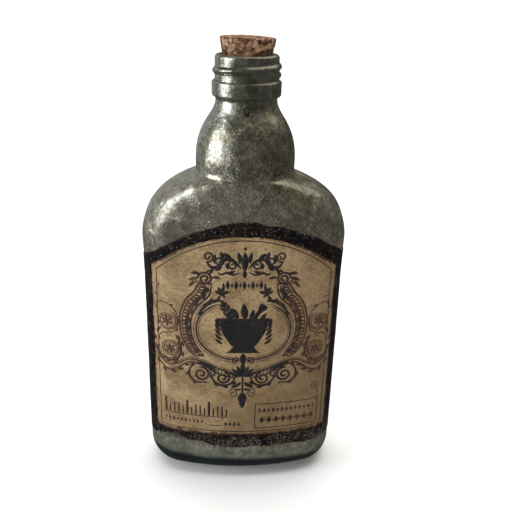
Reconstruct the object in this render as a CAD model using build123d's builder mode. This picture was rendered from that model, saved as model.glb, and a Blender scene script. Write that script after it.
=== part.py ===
from build123d import *

import math
import os

# Oval medicine flask with a bulb neck and a screw finish. It is silvered on the inside, carries a dark
# sparkling coat and an arched paper label on its front, and is closed by a tapered cork.
# Millimetres. Origin: middle of the base, on the surface the flask stands on. +Z up, label towards -Y.

# Glass body: seen from above, a broad arc at the front and at the back, joined by tangent side arcs
body_width = 87.2
body_depth = 42.4
front_radius = 113.0
heel_radius = 12.0
wall = 3.0
base_thickness = 6.0
bearing_width = 3.0  # flat rim the flask stands on, between the heel and the hollow
push_up = 2.0  # how far the underside is hollowed
push_up_share = 0.6  # size of the hollow's roof over its rim

# Shoulder: the outline shrinks towards a core along a quarter of an ellipse
shoulder_start = 116.0
shoulder_rise = 28.9
core_half_width = 16.2
core_depth_drop = 2.6  # how much less deep than the body the core is, on each side
core_side_share = 0.93  # side radius over half depth, where the outline has shrunk to the core
shoulder_sweep = 84.0  # degrees of the ellipse that are made
shoulder_lead = 5.7  # straight length below the curve that is made with it, so that they join smoothly
shoulder_steps = 9

# Neck: a bulb that narrows to the finish
bulb_radius = 20.6
bulb_rise = 6.1  # widest place above the top of the shoulder
bulb_foot_depth = 6.5  # how far the foot is buried below the top of the shoulder
bulb_foot_lean = 19.0  # degrees that the bulb's side leans outwards at its foot
neck_radius = 12.5
neck_rise = 23.3  # start of the straight neck above the widest place
waist_share = 0.635  # where the bulb has narrowed by half, as a share of neck_rise
neck_length = 1.2

# Finish: transfer collar, plain lip and one screw thread
collar_radius = 14.0
collar_height = 6.5
collar_round = 1.0
lip_radius = 12.8
lip_height = 9.7
lip_round = 0.9
bore_radius = 10.2
thread_pitch = 3.3
thread_turns = 1.3
thread_start = 1.9  # middle of the thread's first end above the collar
thread_height = 0.9
thread_foot_width = 2.4
thread_crest_width = 0.9
thread_bite = 0.4  # how deep the thread's foot is set into the lip

# Thin layers
layer_gap = 0.02  # between neighbouring layers
film = 0.2
film_below_cork = 1.5
coat = 0.25
coat_bottom = 17.5
coat_side_top = 111.0
coat_top = 129.5
coat_wrap = 7.0  # how far the coat reaches behind the middle of the flask
paper = 0.2
label_width = 79.2
label_bottom = 24.6
label_side_top = 107.5
label_top = 123.4

# Cork
cork_proud = 6.4
cork_length = 18.5
cork_taper = 8.5  # degrees on each side
cork_clearance = 0.1
cork_edge = 0.5

half_width = body_width / 2
half_depth = body_depth / 2
side_radius = (front_radius * half_depth - (half_width**2 + half_depth**2) / 2) / (front_radius - half_width)
heel = min(heel_radius, 0.9 * side_radius)
core_half_depth = half_depth - core_depth_drop
shoulder_top = shoulder_start + shoulder_rise
bulb_height = shoulder_top + bulb_rise
neck_start = bulb_height + neck_rise
collar_bottom = neck_start + neck_length
collar_top = collar_bottom + collar_height
glass_height = collar_top + lip_height
cork_bottom = glass_height + cork_proud - cork_length


def draw_oval(w, d, r):
    # Closed outline of half width w and half depth d: side arcs of radius r, tangent to two broad arcs.
    broad = ((w - r) ** 2 + d**2 - r**2) / (2 * (d - r))
    turn = math.degrees(math.atan2(w - r, broad - d))
    CenterArc((0, d - broad), broad, 90 - turn, 2 * turn)
    CenterArc((r - w, 0), r, 90 + turn, 180 - 2 * turn)
    CenterArc((0, broad - d), broad, 270 - turn, 2 * turn)
    CenterArc((w - r, 0), r, 270 + turn, 180 - 2 * turn)


def oval(height, w, d, r):
    with BuildSketch(Plane.XY.offset(height)) as section:
        with BuildLine():
            draw_oval(w, d, r)
        make_face()
    return section.sketch


def shoulder_sections(grow):
    # The outline's half width and half depth shrink with the cosine of the ellipse's angle while its
    # height rises with the sine. All of it is moved outwards by grow.
    sections = []
    for step in range(shoulder_steps):
        angle = math.radians(shoulder_sweep * step / (shoulder_steps - 1))
        w = core_half_width + (half_width - core_half_width) * math.cos(angle)
        d = core_half_depth + (half_depth - core_half_depth) * math.cos(angle)
        share = core_side_share + (side_radius / half_depth - core_side_share) * math.cos(angle)
        height = shoulder_start + (shoulder_rise + grow) * math.sin(angle)
        sections.append(oval(height, w + grow, d + grow, share * d + grow))
    return sections


def flask_body(grow, bottom, heel_round):
    # The straight body from the height bottom up, and its shoulder, moved outwards by grow.
    # Its lower edge is rounded unless heel_round is 0.
    straight = shoulder_start - shoulder_lead
    foot = oval(bottom, half_width + grow, half_depth + grow, side_radius + grow)
    start = oval(straight, half_width + grow, half_depth + grow, side_radius + grow)
    with BuildPart() as body:
        extrude(foot, amount=straight - bottom)
        if heel_round > 0:
            fillet(body.faces().sort_by(Axis.Z)[0].edges(), radius=heel_round)
        loft([start] + shoulder_sections(grow))
    return body.part


def bulb_neck(grow, neck, top):
    # The bulb from its buried foot to the straight neck of radius neck, which runs up to the height top.
    waist = (neck + (bulb_radius + grow - neck) / 2, bulb_height + waist_share * neck_rise)
    with BuildPart() as bulb:
        with BuildSketch(Plane.XZ):
            with BuildLine():
                foot = (core_half_depth + grow, shoulder_top - bulb_foot_depth)
                widest = (bulb_radius + grow, bulb_height)
                lean = (math.tan(math.radians(bulb_foot_lean)), 1)
                curve = Spline(foot, widest, waist, (neck, neck_start), tangents=[lean, (0, 1)])
                Polyline(curve @ 1, (neck, top), (0, top), (0, foot[1]), foot)
            make_face()
        revolve(axis=Axis.Z)
    return bulb.part


def cavity(inset, bore):
    # The space inside, at the depth inset under the outer surface, open to the top through the bore.
    floor = base_thickness + inset - wall
    with BuildPart() as space:
        add(flask_body(-inset, floor, heel - inset))
        add(bulb_neck(-inset, bore, glass_height + 1))
    return space.part


def arch(bottom, width, side_top, top, wrap):
    # Upright outline with a straight foot, straight sides and an arc for its head, as a block over the
    # front of the flask that starts at the distance wrap behind its middle.
    with BuildPart() as block:
        with BuildSketch(Plane.XZ.offset(-wrap)):
            with BuildLine():
                ThreePointArc((-width / 2, side_top), (0, top), (width / 2, side_top))
                Line((-width / 2, side_top), (-width / 2, bottom))
                Line((-width / 2, bottom), (width / 2, bottom))
                Line((width / 2, bottom), (width / 2, side_top))
            make_face()
        extrude(amount=body_depth + wrap)
    return block.part


with BuildPart() as bottle_glass:
    add(flask_body(0, 0, heel))
    add(bulb_neck(0, neck_radius, collar_bottom + collar_height / 2))
    with BuildSketch(Plane.XY.offset(collar_bottom)):
        Circle(collar_radius)
    extrude(amount=collar_height)
    with BuildSketch(Plane.XY.offset(collar_top)):
        Circle(lip_radius)
    extrude(amount=lip_height)
    rims = bottle_glass.edges().filter_by(GeomType.CIRCLE)
    fillet(rims.filter_by(lambda rim: abs(rim.radius - collar_radius) < 0.01), radius=collar_round)
    fillet(rims.filter_by(lambda rim: rim.center().Z > glass_height - 0.01), radius=lip_round)
    with BuildLine():
        first_end = (0, 0, collar_top + thread_start)
        turns = Helix(thread_pitch, thread_pitch * thread_turns, lip_radius, first_end)
    with BuildSketch(Plane(turns @ 0, x_dir=(1, 0, 0), z_dir=turns % 0)) as thread_section:
        with BuildLine():
            Polyline(
                (-thread_bite, -thread_foot_width / 2),
                (thread_height, -thread_crest_width / 2),
                (thread_height, thread_crest_width / 2),
                (-thread_bite, thread_foot_width / 2),
                close=True,
            )
        make_face()
    sweep(path=turns, is_frenet=True)
    add(cavity(wall, bore_radius), mode=Mode.SUBTRACT)
    rim_inset = heel + bearing_width
    with BuildSketch(Plane.XY) as hollow_rim:
        Ellipse(half_width - rim_inset, half_depth - rim_inset)
    with BuildSketch(Plane.XY.offset(push_up)) as hollow_roof:
        Ellipse((half_width - rim_inset) * push_up_share, (half_depth - rim_inset) * push_up_share)
    loft([hollow_rim.sketch, hollow_roof.sketch], mode=Mode.SUBTRACT)

with BuildPart() as silver_lining:
    add(cavity(wall + layer_gap, bore_radius - layer_gap))
    add(cavity(wall + layer_gap + film, bore_radius - layer_gap - film), mode=Mode.SUBTRACT)
    split(bisect_by=Plane.XY.offset(cork_bottom - film_below_cork), keep=Keep.BOTTOM)

with BuildPart() as backing_coat:
    add(flask_body(layer_gap + coat, coat_bottom, 0))
    add(arch(coat_bottom, body_width + 4 * coat, coat_side_top, coat_top, coat_wrap), mode=Mode.INTERSECT)
    add(flask_body(layer_gap, coat_bottom - 1, 0), mode=Mode.SUBTRACT)

with BuildPart() as paper_label:
    under_label = layer_gap + coat + layer_gap
    add(flask_body(under_label + paper, label_bottom, 0))
    add(arch(label_bottom, label_width, label_side_top, label_top, 0), mode=Mode.INTERSECT)
    add(flask_body(under_label, label_bottom - 1, 0), mode=Mode.SUBTRACT)

with BuildPart() as cork_stopper:
    slope = math.tan(math.radians(cork_taper))
    lip_fit = bore_radius - cork_clearance  # radius where the cork passes the lip
    foot_radius = lip_fit - (cork_length - cork_proud) * slope
    with BuildSketch(Plane.XY.offset(cork_bottom)):
        Circle(foot_radius)
    with BuildSketch(Plane.XY.offset(cork_bottom + cork_length)):
        Circle(foot_radius + cork_length * slope)
    loft()
    fillet(cork_stopper.edges().filter_by(GeomType.CIRCLE), radius=cork_edge)

os.makedirs("parts", exist_ok=True)
bottle_glass.part.label = "bottle_glass"
export_step(bottle_glass.part, "parts/bottle_glass.step")
silver_lining.part.label = "silver_lining"
export_step(silver_lining.part, "parts/silver_lining.step")
backing_coat.part.label = "backing_coat"
export_step(backing_coat.part, "parts/backing_coat.step")
paper_label.part.label = "paper_label"
export_step(paper_label.part, "parts/paper_label.step")
cork_stopper.part.label = "cork_stopper"
export_step(cork_stopper.part, "parts/cork_stopper.step")
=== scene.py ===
import itertools
from math import asin, atan2, cos, degrees, pi, radians, sin, tan

import bpy
import numpy as np
from mathutils import Matrix, Vector


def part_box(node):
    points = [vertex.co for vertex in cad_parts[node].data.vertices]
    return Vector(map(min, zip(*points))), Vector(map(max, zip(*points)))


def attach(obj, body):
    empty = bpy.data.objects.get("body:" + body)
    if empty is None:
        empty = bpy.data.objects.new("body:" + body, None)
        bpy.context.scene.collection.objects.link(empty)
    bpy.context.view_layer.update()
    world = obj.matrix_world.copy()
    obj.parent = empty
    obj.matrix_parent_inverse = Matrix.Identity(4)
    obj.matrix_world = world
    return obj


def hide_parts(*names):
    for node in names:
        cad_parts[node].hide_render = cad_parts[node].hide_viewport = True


# An oval medicine flask: silvered glass, dark sparkling coat, aged arched label, cork.
# Metres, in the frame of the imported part: base at z = 0, label towards -Y.

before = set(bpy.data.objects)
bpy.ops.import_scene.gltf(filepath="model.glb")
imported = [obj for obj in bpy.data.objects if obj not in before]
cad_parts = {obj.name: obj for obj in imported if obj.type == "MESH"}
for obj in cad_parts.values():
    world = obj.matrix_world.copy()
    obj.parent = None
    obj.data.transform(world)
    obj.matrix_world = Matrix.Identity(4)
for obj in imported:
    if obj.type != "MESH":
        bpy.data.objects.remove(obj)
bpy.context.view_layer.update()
mm = 0.001
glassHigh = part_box("bottle_glass")[1]
corkLow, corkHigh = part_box("cork_stopper")


def stacked(*parts):
    # arrays of coordinates side by side
    return np.stack(parts, -1)


def joined(*parts):
    # arrays one after the other
    return np.concatenate(parts)


def smooth(low, high, value):
    # 0 below low, 1 above high, eased between them as 3t^2 - 2t^3
    t = np.clip((value - low) / (high - low), 0, 1)
    return t * t * (3 - 2 * t)


def valueNoise(points, pitch, seed):
    # random values from -1 to 1 on a cube lattice of that pitch, eased between its corners
    table = np.random.default_rng(seed).uniform(-1, 1, (24, 24, 24))
    scaled = np.asarray(points) / pitch
    cell = np.floor(scaled).astype(int)
    part = scaled - cell
    part = part * part * (3 - 2 * part)
    total = 0
    for corner in itertools.product((0, 1), repeat=3):
        weight = np.prod(np.where(np.array(corner) == 1, part, 1 - part), axis=-1)
        near = (cell + corner) % 24
        total = total + weight * table[near[..., 0], near[..., 1], near[..., 2]]
    return total


def layeredNoise(points, seed, *layers):
    # sum of noises, each with a pitch in millimetres and a size; the seed counts up
    return sum(size * valueNoise(points, pitch * mm, seed + i) for i, (pitch, size) in enumerate(layers))


def cells(ids):
    # quads of a grid of vertex numbers, rows up and columns to the right
    return stacked(ids[:-1, :-1], ids[:-1, 1:], ids[1:, 1:], ids[1:, :-1]).reshape(-1, 4)


def slab(outer, inner):
    # closed sheet between two equal grids: points, quads, and which quads are smooth
    rows, columns, _ = outer.shape
    ids = np.arange(rows * columns).reshape(rows, columns)
    rim = joined(ids[0, :-1], ids[:-1, -1], ids[-1, :0:-1], ids[:0:-1, 0])
    ahead = np.roll(rim, -1)
    wall = stacked(rim, rim + ids.size, ahead + ids.size, ahead)
    quads = joined(cells(ids), cells(ids)[:, ::-1] + ids.size, wall)
    isSmooth = np.arange(len(quads)) < len(quads) - len(wall)
    return joined(outer.reshape(-1, 3), inner.reshape(-1, 3)), quads, isSmooth


def ringGrid(rows):
    # closed skin over rings, the first and the last closed by a fan to their middle
    count, across, _ = rows.shape
    ids = np.arange(count * across).reshape(count, across)
    quads = cells(np.concatenate([ids, ids[:, :1]], axis=1))
    first, last = ids[0], ids[-1]
    low, high = ids.size, ids.size + 1
    fans = [stacked(np.roll(first, -1), first, np.full(across, low)),
            stacked(last, np.roll(last, -1), np.full(across, high))]
    points = np.vstack([rows.reshape(-1, 3), rows[0].mean(0), rows[-1].mean(0)])
    return points, quads, np.concatenate(fans)


def makeMesh(name, points, quads, triangles=None, isSmooth=None):
    triangles = np.zeros((0, 3), int) if triangles is None else triangles
    sizes = joined(np.full(len(quads), 4), np.full(len(triangles), 3))
    corners = joined(quads.ravel(), triangles.ravel())
    mesh = bpy.data.meshes.new(name)
    mesh.vertices.add(len(points))
    mesh.vertices.foreach_set("co", np.asarray(points, np.float32).ravel())
    mesh.loops.add(len(corners))
    mesh.loops.foreach_set("vertex_index", corners.astype(np.int32))
    mesh.polygons.add(len(sizes))
    mesh.polygons.foreach_set("loop_start", (np.cumsum(sizes) - sizes).astype(np.int32))
    mesh.polygons.foreach_set("use_smooth", np.ones(len(sizes), bool) if isSmooth is None else isSmooth)
    mesh.update(calc_edges=True)
    piece = bpy.data.objects.new(name, mesh)
    bpy.context.scene.collection.objects.link(piece)
    return piece


def makeSlabs(name, slabs):
    # one mesh of several closed sheets
    start = np.cumsum([0] + [len(points) for points, _, _ in slabs])
    return makeMesh(name, np.concatenate([points for points, _, _ in slabs]),
                    np.concatenate([quads + first for (_, quads, _), first in zip(slabs, start)]),
                    isSmooth=np.concatenate([isSmooth for _, _, isSmooth in slabs]))


class Wire:
    # one output of a shader node: sums on it add Math nodes, node() adds any other kind
    def __init__(self, tree, socket=None):
        self.tree, self.socket = tree, socket

    def node(self, kind, settings=None, inputs=None, output=0):
        made = self.tree.nodes.new(kind)
        for name, value in (settings or {}).items():
            if name == "stops":
                for extra in range(len(value) - 2):
                    made.color_ramp.elements.new(0.5)
                for stop, (position, colour) in zip(made.color_ramp.elements, value):
                    stop.position, stop.color = position, (*colour, 1)
            else:
                setattr(made, name, value)
        for name, value in (inputs or {}).items():
            if isinstance(value, Wire):
                self.tree.links.new(value.socket, made.inputs[name])
            else:
                made.inputs[name].default_value = value
        return Wire(self.tree, made.outputs[output])

    def maths(self, operation, *values):
        return self.node("ShaderNodeMath", {"operation": operation}, dict(enumerate(values)))

    def __add__(self, other): return self.maths("ADD", self, other)
    def __radd__(self, other): return self.maths("ADD", other, self)
    def __sub__(self, other): return self.maths("SUBTRACT", self, other)
    def __rsub__(self, other): return self.maths("SUBTRACT", other, self)
    def __mul__(self, other): return self.maths("MULTIPLY", self, other)
    def __rmul__(self, other): return self.maths("MULTIPLY", other, self)
    def __truediv__(self, other): return self.maths("DIVIDE", self, other)
    def __pow__(self, other): return self.maths("POWER", self, other)
    def __abs__(self): return self.maths("ABSOLUTE", self)

    def step(self, low, high):
        # eased 0 to 1 between low and high; low may be the larger
        return self.node("ShaderNodeMapRange", {"interpolation_type": "SMOOTHSTEP"},
                         {"Value": self, "From Min": low, "From Max": high})

    def noise(self, size, detail=3, roughness=0.55, distortion=0, output=0):
        # size in millimetres, as in cell()
        sockets = {"Vector": self, "Scale": 1 / (size * mm), "Detail": detail, "Roughness": roughness}
        return self.node("ShaderNodeTexNoise", {}, {**sockets, "Distortion": distortion}, output)

    def cell(self, size, feature="F1", output=0):
        return self.node("ShaderNodeTexVoronoi", {"feature": feature},
                         {"Vector": self, "Scale": 1 / (size * mm)}, output)

    def stretch(self, x, y, z):
        return self.node("ShaderNodeMapping", {}, {"Vector": self, "Scale": (x, y, z)})

    def axis(self, letter):
        return self.node("ShaderNodeSeparateXYZ", {}, {0: self}, "XYZ".index(letter))

    def ramp(self, *stops):
        # colours at positions along this value
        return self.node("ShaderNodeValToRGB", {"stops": stops}, {0: self})

    def paint(self, under, over):
        # mixes the colour under with the colour over by this mask
        under, over = (side if isinstance(side, Wire) else (*side, 1) for side in (under, over))
        return self.node("ShaderNodeMix", {"data_type": "RGBA"}, {0: self, 6: under, 7: over}, 2)

    def bump(self, strength, distance):
        return self.node("ShaderNodeBump", {}, {"Strength": strength, "Distance": distance, "Height": self})


def newMaterial(name, **fixed):
    # a Principled material, its shader and a wire of the Object coordinates
    material = bpy.data.materials.new(name)
    material.use_nodes = True
    tree = material.node_tree
    shader = tree.nodes["Principled BSDF"]
    for socket, value in fixed.items():
        shader.inputs[socket.replace("_", " ")].default_value = value
    place = Wire(tree).node("ShaderNodeTexCoord", output=3)
    return material, shader, place


def plug(shader, **wires):
    for socket, wire in wires.items():
        wire.tree.links.new(wire.socket, shader.inputs[socket.replace("_", " ")])


def dress(piece, material, body, slot, *nodes):
    # material, body, a finish that is not used, and the nodes that the piece stands for
    piece.data.materials.clear()
    piece.data.materials.append(material)
    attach(piece, body)
    if nodes:
        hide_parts(*nodes)


view = {
    "aim": 105.8 * mm,  # height that the camera looks at
    "distance": 277.8 * mm,
    "down": 22.9,  # degrees below the horizon
    "round": 2.07,  # degrees to the flask's left
    "roll": 1.14,
    "lens": 43.95,
    "shift": 0.0249,
}
down, around = radians(view["down"]), radians(view["round"])
back = Vector((-sin(around) * cos(down), -cos(around) * cos(down), sin(down)))
camera = bpy.data.objects.new("camera", bpy.data.cameras.new("camera"))
camera.data.lens = view["lens"]
camera.data.shift_x = view["shift"]
camera.data.clip_start = 0.01
turn = (-back).to_track_quat("-Z", "Y").to_matrix().to_4x4() @ Matrix.Rotation(radians(view["roll"]), 4, "Z")
camera.matrix_world = Matrix.Translation(back * view["distance"] + Vector((0, 0, view["aim"]))) @ turn
bpy.context.scene.collection.objects.link(camera)
bpy.context.scene.camera = camera
bpy.context.scene.view_settings.view_transform = "Standard"

room = {
    "floorColour": (0.86, 0.86, 0.85),
    "floorLight": (0.9, 0.9, 0.89),
    "wallDistance": 1.1,
    "wallHeight": 1.6,
    "frontEdge": 0.9,
    "wallHalfWidth": 1.8,
    "bendRadius": 0.5,
    "surround": (0.075, 0.075, 0.07),
    "backdrop": (0.86, 0.86, 0.85),  # what the camera sees beyond the floor
}
lamps = [
    # name, place, width, height, watts, colour, seen in reflections, lights matt surfaces
    ("window", (-0.6, -0.17, 0.3), 0.32, 0.46, 2.6, (0.92, 0.96, 1), True, True),
    ("leftBack", (-0.5, 0.75, 0.26), 0.9, 0.7, 0.55, (0.94, 0.98, 1), True, False),
    ("front", (-0.2, -1.1, 0.55), 0.9, 0.7, 4.8, (1, 0.97, 0.93), False, True),
    ("sky", (0.3, 0.28, 1.1), 1.5, 1.5, 4.8, (1, 0.97, 0.86), True, False),
    ("above", (0.1, 0.05, 0.95), 0.5, 0.4, 1.6, (1, 0.99, 0.97), False, True),
    ("wallWash", (0, 0.3, 1.6), 2.2, 1.2, 36, (1, 1, 1), False, True),
]


def makeRoom():
    # floor that bends up into a wall: a profile of y and z carried along X
    bend = np.linspace(0, pi / 2, 13)
    radius, far = room["bendRadius"], room["wallDistance"]
    y = joined([-room["frontEdge"]], far - radius + radius * np.sin(bend), [far])
    z = joined([0], radius - radius * np.cos(bend), [room["wallHeight"]])
    x = np.linspace(-room["wallHalfWidth"], room["wallHalfWidth"], 9)
    rows = np.stack(np.broadcast_arrays(x, y[:, None], z[:, None]), -1)
    ids = np.arange(len(y) * len(x)).reshape(len(y), len(x))
    sweep = makeMesh("floor", rows.reshape(-1, 3), cells(ids))
    material, shader, place = newMaterial("pale floor", Roughness=0.8)
    mottled = place.noise(1000 / 3).step(0.2, 0.8).paint(room["floorColour"], room["floorLight"])
    plug(shader, Base_Color=mottled)
    sweep.data.materials.append(material)
    sweep.visible_glossy = False
    for name, place, width, height, watts, colour, inMirrors, onMatt in lamps:
        light = bpy.data.lights.new(name, "AREA")
        light.shape, light.size, light.size_y = "RECTANGLE", width, height
        light.energy, light.color = watts, colour
        lamp = bpy.data.objects.new(name, light)
        target = Vector((0, 1, 0.5)) if name == "wallWash" else Vector((0, 0, 0.11))
        lamp.matrix_world = (Matrix.Translation(place)
                             @ (target - Vector(place)).to_track_quat("-Z", "Y").to_matrix().to_4x4())
        lamp.visible_glossy, lamp.visible_diffuse = inMirrors, onMatt
        bpy.context.scene.collection.objects.link(lamp)
    world = bpy.data.worlds.new("surround")
    world.use_nodes = True
    seen = Wire(world.node_tree).node("ShaderNodeLightPath").paint(room["surround"], room["backdrop"])
    world.node_tree.links.new(seen.socket, world.node_tree.nodes["Background"].inputs[0])
    bpy.context.scene.world = world


makeRoom()
print("camera, room and", len(lamps), "lamps made")


flask = {
    "frontRadius": 113 * mm,  # broad arcs of the outline
    "heelRadius": 12 * mm,
    "wall": 3 * mm,
    "baseThickness": 6 * mm,
    "bearingWidth": 3 * mm,
    "pushUp": 2 * mm,
    "shoulderStart": 116 * mm,
    "shoulderSwell": 0.5 * mm,  # the sides stand out a little where the shoulder starts
    "swellHeight": 118 * mm,
    "swellReach": 9 * mm,
    "coreShare": 0.93,  # side radius over half depth, where the outline has shrunk to the crease
    "creaseHeight": 144.9 * mm,
    "creaseRadius": 20.3 * mm,
    "creaseRound": 2.6 * mm,
    "creaseDrop": (1.3 * mm, 1.9 * mm),  # how much lower the crease is at the left and at the right
    "creaseRise": 1.2 * mm,  # and how much higher at the front and the back
    "creaseReach": (129.6 * mm, 157 * mm),  # heights between which it moves its neighbourhood
    "bulbRadius": 20.65 * mm,
    "bulbHeight": 151 * mm,
    "neckRadius": 12.5 * mm,
    "neckHeight": 174.3 * mm,
    "waistHeight": 165.8 * mm,
    "waistSteepness": 1.74,  # against the mean slope from the bulb to the neck
    "collarRadius": 14 * mm,
    "collarBottom": 175.5 * mm,
    "collarTop": 182 * mm,
    "collarRound": 1.15 * mm,
    "lipRadius": 12.8 * mm,
    "lipRound": 1.3 * mm,
    "boreRadius": 10.2 * mm,
    "boreRound": 0.7 * mm,
    "threadPitch": 3.3 * mm,
    "threadStart": 183.9 * mm,
    "threadTurns": 1.3,
    "threadHeight": 1 * mm,
    "threadWidth": 3.1 * mm,
    "columns": 256,
    "unevenness": 0.13 * mm,  # old mould-blown glass isn't quite true
}
halfWidth, halfDepth = glassHigh[0], glassHigh[1]
glassTop = glassHigh[2]
sideRadius = ((flask["frontRadius"] * halfDepth - (halfWidth ** 2 + halfDepth ** 2) / 2)
              / (flask["frontRadius"] - halfWidth))


def oval(normal, w, d, r):
    # point of the outline whose outward normal has the angle normal: a side arc of radius r about
    # (w - r, 0), or the broad arc of radius b = ((w - r)^2 + d^2 - r^2) / 2(d - r) about (0, d - b)
    broad = ((w - r) ** 2 + d ** 2 - r ** 2) / (2 * (d - r))
    lean = np.arctan2(w - r, broad - d)
    c, s = np.cos(normal), np.sin(normal)
    onBroad = np.abs(s) > np.cos(lean)
    x = np.where(onBroad, broad * c, np.sign(c) * (w - r) + r * c)
    y = np.where(onBroad, np.sign(s) * (d - broad) + broad * s, r * s)
    return x, y


def lengthAlong(x, y):
    # way along a line of points
    return joined([0], np.cumsum(np.hypot(np.diff(x), np.diff(y))))


def outlineNormals(count, evenness):
    # angles of the normals for count points round the body's outline, spaced partly by length along
    # it and partly by angle, so that the round neck gets enough columns on its sides
    fine = np.linspace(-pi, pi, 20001)
    x, y = oval(fine, halfWidth, halfDepth, sideRadius)
    length = lengthAlong(x, y)
    measure = evenness * length / length[-1] + (1 - evenness) * (fine + pi) / (2 * pi)
    return np.interp(np.arange(count) / count, measure, fine)


def sectionAt(z):
    # half width, half depth and side radius of the body at the height z, up to the crease: on the
    # shoulder they shrink to the crease's circle with the cosine of an angle whose sine is the height
    rise = flask["creaseHeight"] - flask["shoulderStart"]
    sine = np.clip((z - flask["shoulderStart"]) / rise, 0, 1)
    w, d, r = sectionAtAngle(np.arcsin(sine))
    return w + swellAt(z), d, r


def swellAt(z):
    # extra half width where the shoulder starts: a bell curve over the height
    return flask["shoulderSwell"] * np.exp(-(((z - flask["swellHeight"]) / flask["swellReach"]) ** 2))


def sectionAtAngle(angle):
    end = flask["creaseRadius"]
    w = end + (halfWidth - end) * (1.04 * np.cos(angle) - 0.04 * np.cos(angle) ** 3)
    d = end + (halfDepth - end) * np.cos(angle)
    share = flask["coreShare"]
    r = d * (share + (sideRadius / halfDepth - share) * np.cos(angle))
    return w, d, r


def hermite(start, end, startSlope, endSlope, t):
    # cubic between two values with given slopes over t from 0 to 1
    return (start * (2 * t**3 - 3 * t**2 + 1) + startSlope * (t**3 - 2 * t**2 + t)
            + end * (3 * t**2 - 2 * t**3) + endSlope * (t**3 - t**2))


def arc(centre, radius, start, end, steps):
    # points (radius, height) of an arc; angles in degrees from straight outwards
    angle = np.radians(np.linspace(start, end, steps))
    return stacked(centre[0] + radius * np.cos(angle), centre[1] + radius * np.sin(angle))


def bulbProfile(shrink, neck):
    # radius over height in three cubics: from a foot that leans outwards to the widest place, on to the
    # waist, and on to the straight neck
    low, wide, waist, top = (flask[name + "Height"] for name in ("crease", "bulb", "waist", "neck"))
    foot, bulb = flask["creaseRadius"] - shrink, flask["bulbRadius"] - shrink
    middle = neck + (bulb - neck) / 2
    slope = -(bulb - neck) / (top - wide) * flask["waistSteepness"]
    parts = []
    for start, end, radii, slopes, count in (
            (low, wide, (foot, bulb), ((bulb - foot) * 2, 0), 12),
            (wide, waist, (bulb, middle), (0, slope * (waist - wide)), 20),
            (waist, top, (middle, neck), (slope * (top - waist), 0), 16)):
        z = np.linspace(start, end, count)[min(len(parts), 1):]
        parts.append(stacked(hermite(*radii, *slopes, (z - start) / (end - start)), z))
    return joined(*parts)


def ovalRows(inset, floor, heel, normals):
    # rows of the body moved inwards by inset: half heel arc, straight side and shoulder up to the crease
    rows = []
    for angle in np.radians(np.linspace(0, 90, 12)):
        lean = inset + heel * (1 - np.sin(angle))
        x, y = oval(normals, halfWidth - lean, halfDepth - lean, sideRadius - lean)
        rows.append((x, y, np.full_like(x, floor + heel * (1 - np.cos(angle)))))
    for z in np.linspace(floor + heel, flask["shoulderStart"], 42)[1:]:
        x, y = oval(normals, halfWidth - inset + swellAt(z), halfDepth - inset, sideRadius - inset)
        rows.append((x, y, np.full_like(x, z)))
    rise = flask["creaseHeight"] - flask["shoulderStart"] - inset
    for angle in np.radians(np.linspace(0, 89, 40))[1:]:
        w, d, r = sectionAtAngle(angle)
        z = flask["shoulderStart"] + rise * np.sin(angle)
        x, y = oval(normals, w - inset + swellAt(z), d - inset, r - inset)
        rows.append((x, y, np.full_like(x, z)))
    return tiltCrease(np.stack([np.stack(row, -1) for row in rows]))


def tiltCrease(rows):
    # the crease between shoulder and bulb dips at the sides and is higher at the front and the back:
    # heights near it change with the square of the cosine and of the sine of the angle about the axis
    x, y, z = rows[..., 0], rows[..., 1], rows[..., 2]
    sideways = x**2 / (x**2 + y**2)
    left, right = flask["creaseDrop"]
    drop = left + (right - left) * smooth(-15 * mm, 15 * mm, x)
    low, high = flask["creaseReach"]
    near = smooth(low, flask["creaseHeight"], z) * (1 - smooth(flask["creaseHeight"], high, z))
    lifted = (flask["creaseRise"] * (1 - sideways) - drop * sideways) * near
    return stacked(x, y, z + lifted)


def turnedRows(profile, normals):
    # profile points (radius, height) carried round the axis
    radius, height = profile[:, 0][:, None], profile[:, 1][:, None]
    flat = np.ones_like(normals)
    return stacked(radius * np.cos(normals), radius * np.sin(normals), height * flat)


def roundCrease(rows, at, reach):
    # replaces the corner at row at by a quadratic curve between the points reach away on both sides
    below, above = rows[: at + 1][::-1], rows[at:]

    def along(side):
        gaps = np.linalg.norm(np.diff(side, axis=0), axis=-1)
        return joined(np.zeros((1, side.shape[1])), np.cumsum(gaps, 0))

    lengthBelow, lengthAbove = along(below).mean(1), along(above).mean(1)
    i, j = np.searchsorted(lengthBelow, reach), np.searchsorted(lengthAbove, reach)
    t = np.linspace(0, 1, 9)[:, None, None]
    curve = (1 - t) ** 2 * below[i] + 2 * t * (1 - t) * rows[at] + t**2 * above[j]
    return joined(rows[: at - i], curve, rows[at + j + 1:])


def threadRise(z, turn):
    # height of the screw thread over the lip's wall: a round ridge about a line that climbs one pitch
    # a turn, faded out over its ends
    pitch, width = flask["threadPitch"], flask["threadWidth"]
    total = np.zeros(np.broadcast(z, turn).shape)
    for lap in range(-1, 3):
        along = np.mod(turn, 2 * pi) / (2 * pi) + lap
        gap = np.abs(z - flask["threadStart"] - along * pitch) / (width / 2)
        ridge = np.cos(np.clip(gap, 0, 1) * pi / 2) ** 1.1
        past = along - flask["threadTurns"]
        fade = smooth(-0.12, 0.02, along) * (1 - smooth(-0.06, 0.1, past))
        total = np.maximum(total, ridge * fade)
    return total * flask["threadHeight"]


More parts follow.
